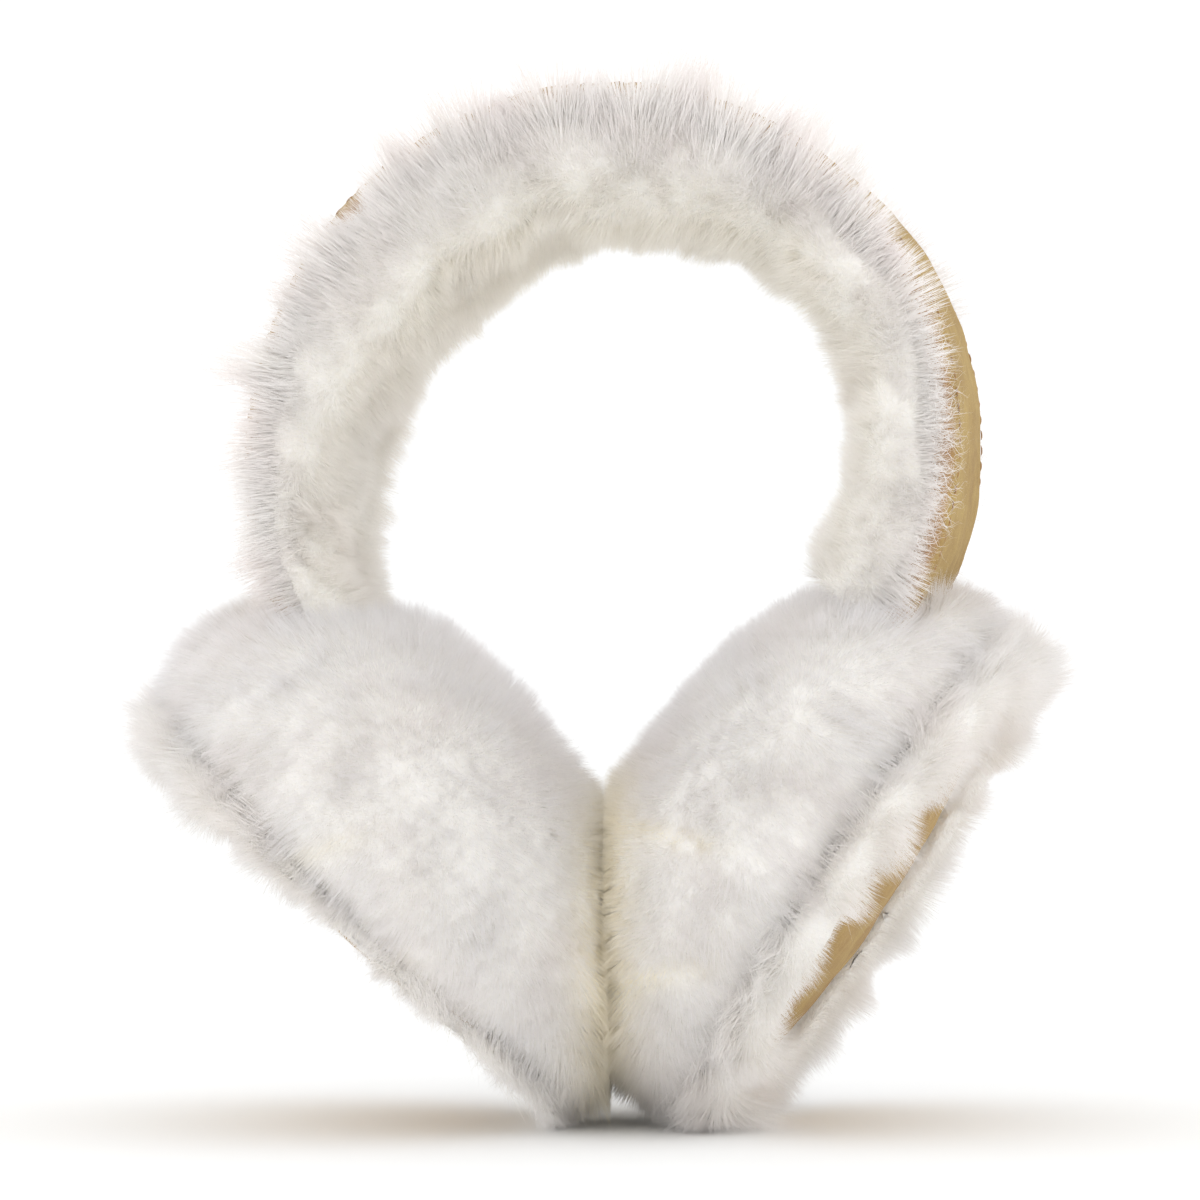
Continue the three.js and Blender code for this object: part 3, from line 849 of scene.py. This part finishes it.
def hairs(
    name, place, facing, lean, length, width, material, seed, pieces=1, curl=0.0, keep=None, warmth=0.0
):
    """Ribbon hairs in a number of pieces: each turns from its hide's normal towards its lean.

    Most stray a little from it, and one in eight strays far. curl is the size of the turns that a hair
    makes about its own line, as a share of its length. keep is a function that moves points out of
    the floor or of another piece. The last argument, from 0 to 1 for each hair, turns its colour creamy: a
    slight even tint on the fringes and seams, and painted shade in the groove between the pads, the creases
    and under the band."""
    rng = np.random.default_rng(seed)
    count = len(place)
    here = place - HAIR_ROOT * facing
    step = (length / pieces)[:, None]
    astray = rng.normal(size=(count, 3)) * np.where(rng.uniform(size=count) < 0.12, 0.26, 0.1)[:, None]
    line = [here]
    for k in range(pieces):
        t = (k + 0.5) / pieces
        way = unit(facing * (1 - 0.35 * t) + lean * (0.35 + 0.9 * t) + astray)
        here = here + step * way
        line.append(here)
    line = np.stack(line, 1)
    turn = rng.uniform(0, 2 * np.pi, count)
    main = unit(line[:, -1] - line[:, 0])
    across = unit(np.cross(main, facing + rng.normal(scale=0.5, size=(count, 3))))
    up = np.cross(main, across)
    t = np.linspace(0, 1, pieces + 1)
    if curl:
        wind = turn[:, None] + 2 * np.pi * (pieces / 4.5) * t[None]
        size = curl * length[:, None] * t[None] ** 0.7
        line = line + (size * np.cos(wind))[..., None] * across[:, None]
        line = line + (size * np.sin(wind))[..., None] * up[:, None]
    if keep is not None:
        line = keep(line.reshape(-1, 3)).reshape(line.shape)
    half = 0.5 * width[:, None] * (1 - t[None, :-1] ** 2.2)
    left = line[:, :-1] - half[..., None] * across[:, None]
    right = line[:, :-1] + half[..., None] * across[:, None]
    pairs = np.stack([left, right], 2).reshape(count, 2 * pieces, 3)
    points = np.concatenate([pairs, line[:, -1:]], 1)
    each = 2 * pieces + 1
    base = 2 * np.arange(pieces - 1)
    one = np.concatenate(
        [
            np.stack([base, base + 1, base + 3], -1),
            np.stack([base, base + 3, base + 2], -1),
            [[2 * pieces - 2, 2 * pieces - 1, 2 * pieces]],
        ]
    )
    faces = (one[None] + each * np.arange(count)[:, None, None]).reshape(-1, 3)
    along = np.concatenate([np.repeat(t[:-1], 2), [1.0]])
    values = {
        "along": np.tile(along, count),
        "warmth": np.repeat(warmth * np.ones(count), each),
        "shade": np.repeat(rng.uniform(0, 1, count), each),
    }
    piece = mesh_piece(name, points.reshape(-1, 3), faces, material, values)
    baking_map(piece, count, pieces, faces)
    print(f"{name}: {count} hairs, {len(faces)} triangles")
    return piece


def baking_map(piece, count, pieces, faces):
    """A map with a cell of its own for each hair, in rows and columns, the hair running up its cell."""
    across = math.ceil(math.sqrt(count))
    cell = np.stack([np.arange(count) % across, np.arange(count) // across], -1)
    t = np.linspace(0, 1, pieces + 1)
    sides = np.tile([0.1, 0.9], pieces)
    height = np.concatenate([np.repeat(t[:-1], 2), [1.0]]) * 0.8 + 0.1
    own = np.stack([np.concatenate([sides, [0.5]]), height], -1)
    points = ((cell[:, None] + own[None]) / across).reshape(-1, 2)
    layer = piece.data.uv_layers.new(name="OFBake", do_init=False)
    layer.uv.foreach_set("vector", points[faces.ravel()].astype(np.float32).ravel())


# %% [markdown]
# ## Fur on the pads
#
# On a cushion the fur is brushed down and away from its middle. At the seam the cushion's fur and
# the fringe's meet and close over it, and in the groove between the pads the fur bridges it.

# %% Fur on the pads
CUSHION_HAIRS, FRINGE_HAIRS, SEAM_HAIRS = 148000, 62000, 10000
PAD_HAIR = 0.11 * MM  # its mean width
FLOOR_GAP = 0.25 * MM
PAST_MIDDLE = 0.8 * MM  # how far a hair may reach past the plane between the two pads


def pad_keep(side):
    """Keeps a pad's hairs above the floor, and on its own side of the plane between the two pads."""
    middle, away = pressed_planes(side)[1]

    def keep(points):
        points[:, 2] = np.maximum(points[:, 2], FLOOR_GAP)
        beyond = np.minimum((points - middle) @ away + PAST_MIDDLE, 0)
        return points - beyond[:, None] * away

    return keep


def from_axis(points, middle, axis):
    """The way from a pad's axis to each point, square to the axis."""
    off = points - middle
    return off - (off @ axis)[:, None] * axis


def on_cushion(side):
    """How thickly hairs stand: 1 on the dome, less towards the seam, 0 on the back."""
    rotation, middle = pad_place(side)
    axis = rotation[:, 2]

    def weight(points, normals):
        at_seam = np.clip(1 - ((points - middle) @ axis + PAD_BACK) / (10 * MM), 0, 1)
        return np.where(normals @ axis < -0.6, 0.0, 1 - 0.3 * at_seam)

    return weight


for number, side in enumerate(SIDES):
    rotation, middle = pad_place(side)
    axis = rotation[:, 2]
    between, away = pressed_planes(side)[1]
    keep = pad_keep(side)

    place, facing = scattered(hides[f"{side}_cushion"], CUSHION_HAIRS, 11 + number, on_cushion(side))
    back = np.clip((6 * MM - (place - middle) @ axis) / (13 * MM), 0, 1)[:, None]
    outwards = unit(from_axis(place, middle, axis))
    brushed = outwards * 0.45 - axis * (0.3 + 1.5 * back) + np.array([0, 0, -0.3])
    brushed = brushed - (brushed * facing).sum(1, keepdims=True) * facing
    apart = (place - between) @ away
    bridging = 0.7 * away + 0.5 * np.sign(facing[:, 1:2]) * [0, -1.0, 0]
    brushed = brushed - hump(apart, 7 * MM)[:, None] * bridging
    locks = Waves(51 + number, 15 * MM).slope(place) * 0.22 + Waves(53 + number, 5 * MM).slope(place) * 0.16
    rng = np.random.default_rng(61 + number)
    creased = crease(side, place)
    length = (7.0 + 1.3 * plumpness(side, place)) * MM * rng.uniform(0.78, 1.1, len(place))
    length = length * (1 - 0.6 * creased) * (1 + 0.25 * back[:, 0])
    length = length * (1 + 0.1 * Waves(55 + number, 18 * MM).value(place))
    # Painted shade: hairs in the groove between the pads and in the creases are tinted cream, the tone of the
    # shade there, a little lighter to make up for light lost in them.
    shade_cream = np.clip(hump(apart, 6 * MM) + creased, 0, 1)
    width = PAD_HAIR * rng.uniform(0.7, 1.3, len(place))
    piece = hairs(
        f"{side}_cushion_fur", place, facing, brushed + locks, length, width, pad_wool, 71 + number,
        keep=keep, warmth=shade_cream,
    )
    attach(piece, "root")

    # The fringe's fur stands outwards round its rim, and over the disc's edge it lies inwards
    off_cushion = lambda points, normals: np.where(normals @ axis > 0.7, 0.0, 1.0)
    place, facing = scattered(hides[f"{side}_fringe"], FRINGE_HAIRS, 13 + number, off_cushion)
    outwards = from_axis(place, middle, axis)
    outer = np.clip((np.linalg.norm(outwards, axis=1) - DISC_RADIUS - 1 * MM) / (7 * MM), 0, 1)
    outwards = unit(outwards)
    seamward = np.clip(1 + ((place - middle) @ axis + PAD_BACK) / (5 * MM), 0, 1)[:, None]
    brushed = outwards * outer[:, None] * 0.6 - axis * 0.4 * (1 - seamward) + axis * 1.3 * seamward
    locks = Waves(57 + number, 12 * MM).slope(place) * 0.4
    reach = 6.8 if side == "right" else 4.0 + 2.8 * raised(place, 40 * MM, 85 * MM)
    # In front the fur lies over the disc's edge, but for the open slit on the right pad
    height = place[:, 2] / MM
    slit = np.clip((height - 25) / 4, 0, 1) * np.clip((56 - height) / 4, 0, 1) * (side == "right")
    inner = (1 - outer) * (place[:, 1] < ARCH_Y)
    brushed = brushed - outwards * (0.9 * inner * (1 - slit))[:, None]
    length = reach * (0.6 + 0.4 * outer) * MM * rng.uniform(0.7, 1.2, len(place))
    length = length * (1 + 0.9 * inner * (1 - slit) - 0.35 * inner * slit)
    length = length * (1 + 0.3 * Waves(59 + number, 14 * MM).value(place))
    width = PAD_HAIR * rng.uniform(0.7, 1.3, len(place))
    piece = hairs(
        f"{side}_fringe_fur", place, facing, brushed + locks, length, width, pad_wool, 73 + number,
        keep=keep, warmth=0.1,
    )
    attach(piece, "root")

    # The fur that stands over the seam between the cushion and the fringe
    turn = rng.uniform(0, 2 * np.pi, SEAM_HAIRS)
    level = rng.normal(-0.4, 1.7, SEAM_HAIRS).clip(-5, 5) * MM - PAD_BACK
    radial = np.stack([np.cos(turn), np.sin(turn), 0 * turn], -1) @ rotation.T
    ring = radial * (rng.uniform(55.5, 60, SEAM_HAIRS) * MM)[:, None]
    place = middle + ring + level[:, None] * axis
    reach = 9.5 if side == "right" else 7.5 + 2.5 * raised(place, 40 * MM, 85 * MM)
    length = reach * MM * rng.uniform(0.7, 1.15, SEAM_HAIRS)
    length = length * (1 + 0.15 * Waves(157 + number, 13 * MM).value(place))
    width = 0.13 * MM * rng.uniform(0.7, 1.3, SEAM_HAIRS)
    lean = Waves(155 + number, 13 * MM).slope(place) * 0.35 - 0.3 * axis
    chosen = (place[:, 2] > 1 * MM) & ((place - between) @ away > 0.5 * MM)
    piece = hairs(
        f"{side}_seam_fur", place[chosen], radial[chosen], lean[chosen], length[chosen], width[chosen],
        pad_wool, 171 + number, keep=keep, warmth=0.1,
    )
    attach(piece, "root")


# %% [markdown]
# ## Fur on the band
#
# Short fur covers the fleece's bulge. Longer fur stands up along both edges, past the suede, and
# lies low where the suede shows. A few stray curls cross the suede.

# %% Fur on the band
FLEECE_HAIRS, EDGE_HAIRS, CURLS = 165000, 36000, 1300
EVEN_HAIRS = 20000  # of the edge's hairs, those that stand evenly all along it
# Where the fleece lies low along the band's edges: angle and spread in degrees, and how low
LOW = np.array([[-4, 20, 0.8], [33, 4, 0.55], [42, 3, 0.35], [163, 3, 0.4], [191, 8, 0.4]])


def band_angle(points):
    """The angle in degrees of each point round the arch, from -90 to 270."""
    turn = np.degrees(np.arctan2(points[:, 2] - ARCH_HEIGHT, points[:, 0] - ARCH_X))
    return np.where(turn < -90, turn + 360, turn)


def on_bulge(points, normals):
    """1 on the fleece's bulge, 0 on its neck in the suede's channel and on its cut ends."""
    angle = band_angle(points)
    radius = np.hypot(points[:, 0] - ARCH_X, points[:, 2] - ARCH_HEIGHT) - leg_spread(angle)
    return np.where((radius > FLEECE_MOUTH) | (np.abs(angle - 90) > 89.7 + ARCH_END), 0.0, 1.0)


def outwards_and_sideways(angle, edge):
    """The direction away from the arch's centre, and the one out over the edge, -1 front or 1 back."""
    return outward(angle), np.stack([0 * edge, edge, 0 * edge], -1)


place, facing = scattered(hides["fleece"], FLEECE_HAIRS, 17, on_bulge)
rng = np.random.default_rng(63)
locks = Waves(81, 12 * MM).slope(place) * 0.17 + Waves(82, 5 * MM).slope(place) * 0.14
length = 6.8 * MM * rng.uniform(0.7, 1.15, len(place)) * (1 + 0.15 * Waves(83, 16 * MM).value(place))
width = 0.12 * MM * rng.uniform(0.7, 1.3, len(place))
angle = band_angle(place)
inwards = -(facing * outward(angle)).sum(1)
# Painted shade: hairs on the band's underside, which faces down into shade, are tinted cream, more so towards
# the top of the arch.
underside_shade = 0.55 * np.clip(1.8 * inwards - 0.7, 0, 1) * (0.45 + 0.55 * raised(place, 130 * MM, 190 * MM))
to_front = np.abs(facing[:, 1:2])
brushed = outward(angle) * 0.6 * to_front + outward(angle + 90) * 0.4 * (1 - to_front)
piece = hairs(
    "band_fleece_fur", place, facing, locks + brushed, length, width, band_wool, 91, warmth=underside_shade
)
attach(piece, "root")

everywhere = rng.uniform(-ARCH_END, 180 + ARCH_END, EVEN_HAIRS)
angle = np.concatenate([everywhere, rng.uniform(28, 205, EDGE_HAIRS - EVEN_HAIRS)])
edge = np.where(rng.uniform(size=EDGE_HAIRS) < 0.5, -1.0, 1.0)
inward = rng.uniform(0, 1, EDGE_HAIRS) ** 1.9
radius, y = fleece_side(angle, 3 + 34 * inward**1.3)
place = arch_point(angle, radius, edge * (y - 0.5 * MM))
low = (LOW[:, 2] * hump(angle[:, None] - LOW[:, 0], LOW[:, 1])).sum(1).clip(0, 0.85)
up, sideways = outwards_and_sideways(angle, edge)
rising = ((1 - inward) ** 0.6)[:, None]
facing = unit(sideways * 0.9 + up * (0.15 + 0.65 * rising))
locks = Waves(85, 13 * MM).slope(place) * 0.22 + Waves(86, 5 * MM).slope(place) * 0.14
tall = 8.5 * (1 - inward) ** 0.8 * (1 - low) * (0.75 + 0.25 * hump(angle - 75, 60))
length = (7 + tall - 2.5 * low) * MM * rng.uniform(0.65, 1.1, EDGE_HAIRS)
length = length * (1 + 0.2 * Waves(87, 12 * MM).value(place))
width = (0.1 + 0.1 * rising[:, 0]) * MM * rng.uniform(0.7, 1.3, EDGE_HAIRS)
lean = up * (0.45 + 0.6 * rising) - sideways * 0.38 * rising + locks
piece = hairs("band_edge_fur", place, facing, lean, length, width, band_wool, 93, pieces=3, curl=0.03)
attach(piece, "root")

on_right = rng.normal(0, 17, 2 * CURLS // 3)
angle = np.concatenate([on_right, rng.uniform(-20, 205, CURLS - len(on_right))]).clip(-30, 210)
edge = np.where(rng.uniform(size=CURLS) < 0.6, -1.0, 1.0)
place = arch_point(angle, ARCH_RADIUS - SUEDE_LIP - 1.0 * MM, edge * (SUEDE_WIDTH / 2 + 1.0 * MM))
up, sideways = outwards_and_sideways(angle, edge)
lean = up * 0.4 - sideways * 0.12 + rng.normal(scale=0.5, size=(CURLS, 3))
length = 8.5 * MM * rng.uniform(0.5, 1.25, CURLS)
width = 0.2 * MM * rng.uniform(0.7, 1.2, CURLS)
piece = hairs(
    "band_stray_curls", place, unit(up + 0.35 * sideways), lean, length, width, band_wool, 95,
    pieces=9, curl=0.13,
)
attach(piece, "root")


# %% [markdown]
# ## Floor, light and camera
#
# A pale floor lies under an even white sky, with a large soft light on each side. The camera looks
# level from 10 degrees to the right of the front, and one metre away.

# %% Stage
VIEW = math.radians(10)
DISTANCE = 1.0
EYE_HEIGHT = 92 * MM
PICTURE = 246 * MM  # what the picture spans at the earmuffs
PICTURE_RISE = 15 * MM  # how far the picture's middle lies over the eye's height
ALONG = 2.3 * MM  # how far the picture's middle lies to the right of the middle
SENSOR = 36

bpy.ops.mesh.primitive_plane_add(size=14, location=(0, 0, 0))
floor = bpy.context.object
floor.name = "floor"
paint = new_material("floor_paint", {"Base Color": (0.96, 0.96, 0.955, 1), "Roughness": 0.9})[0]
floor.data.materials.append(paint)

world = bpy.data.worlds.new("studio")
bpy.context.scene.world = world
world.use_nodes = True
world.node_tree.nodes["Background"].inputs["Color"].default_value = (0.99, 0.995, 1.0, 1)
world.node_tree.nodes["Background"].inputs["Strength"].default_value = 1.12


def softbox(name, place, aim, size, power):
    """A square area light that looks at a point."""
    light = bpy.data.lights.new(name, "AREA")
    light.size = size
    light.energy = power
    lamp = bpy.data.objects.new(name, light)
    bpy.context.scene.collection.objects.link(lamp)
    lamp.location = place
    lamp.rotation_euler = (Vector(aim) - Vector(place)).to_track_quat("-Z", "Y").to_euler()


softbox("key", (-0.5, -1.2, 0.9), (0, 0, 0.1), 1.2, 2.5)
softbox("fill", (0.9, -0.9, 0.4), (0, 0, 0.1), 0.9, 1.2)

middle = ALONG * np.array([math.cos(VIEW), math.sin(VIEW), 0])
backwards = np.array([math.sin(VIEW), -math.cos(VIEW), 0])
camera = bpy.data.objects.new("camera", bpy.data.cameras.new("camera"))
bpy.context.scene.collection.objects.link(camera)
camera.location = middle + DISTANCE * backwards + [0, 0, EYE_HEIGHT]
camera.rotation_euler = (math.radians(90), 0, VIEW)
camera.data.sensor_width = SENSOR
camera.data.lens = SENSOR * DISTANCE / PICTURE
camera.data.shift_y = PICTURE_RISE / PICTURE
camera.data.clip_start = 50 * MM
bpy.context.scene.camera = camera
bpy.context.scene.view_settings.view_transform = "Standard"
print(f"the camera's lens is {camera.data.lens:.1f} mm, and it stands at", np.round(camera.location, 3))

# %% Finish
added = [piece for piece in bpy.data.objects if piece.type == "MESH" and piece.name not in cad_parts]
sizes = {piece.name: sum(len(face.vertices) - 2 for face in piece.data.polygons) for piece in added}
print("triangles:", sizes, "in all", sum(sizes.values()))
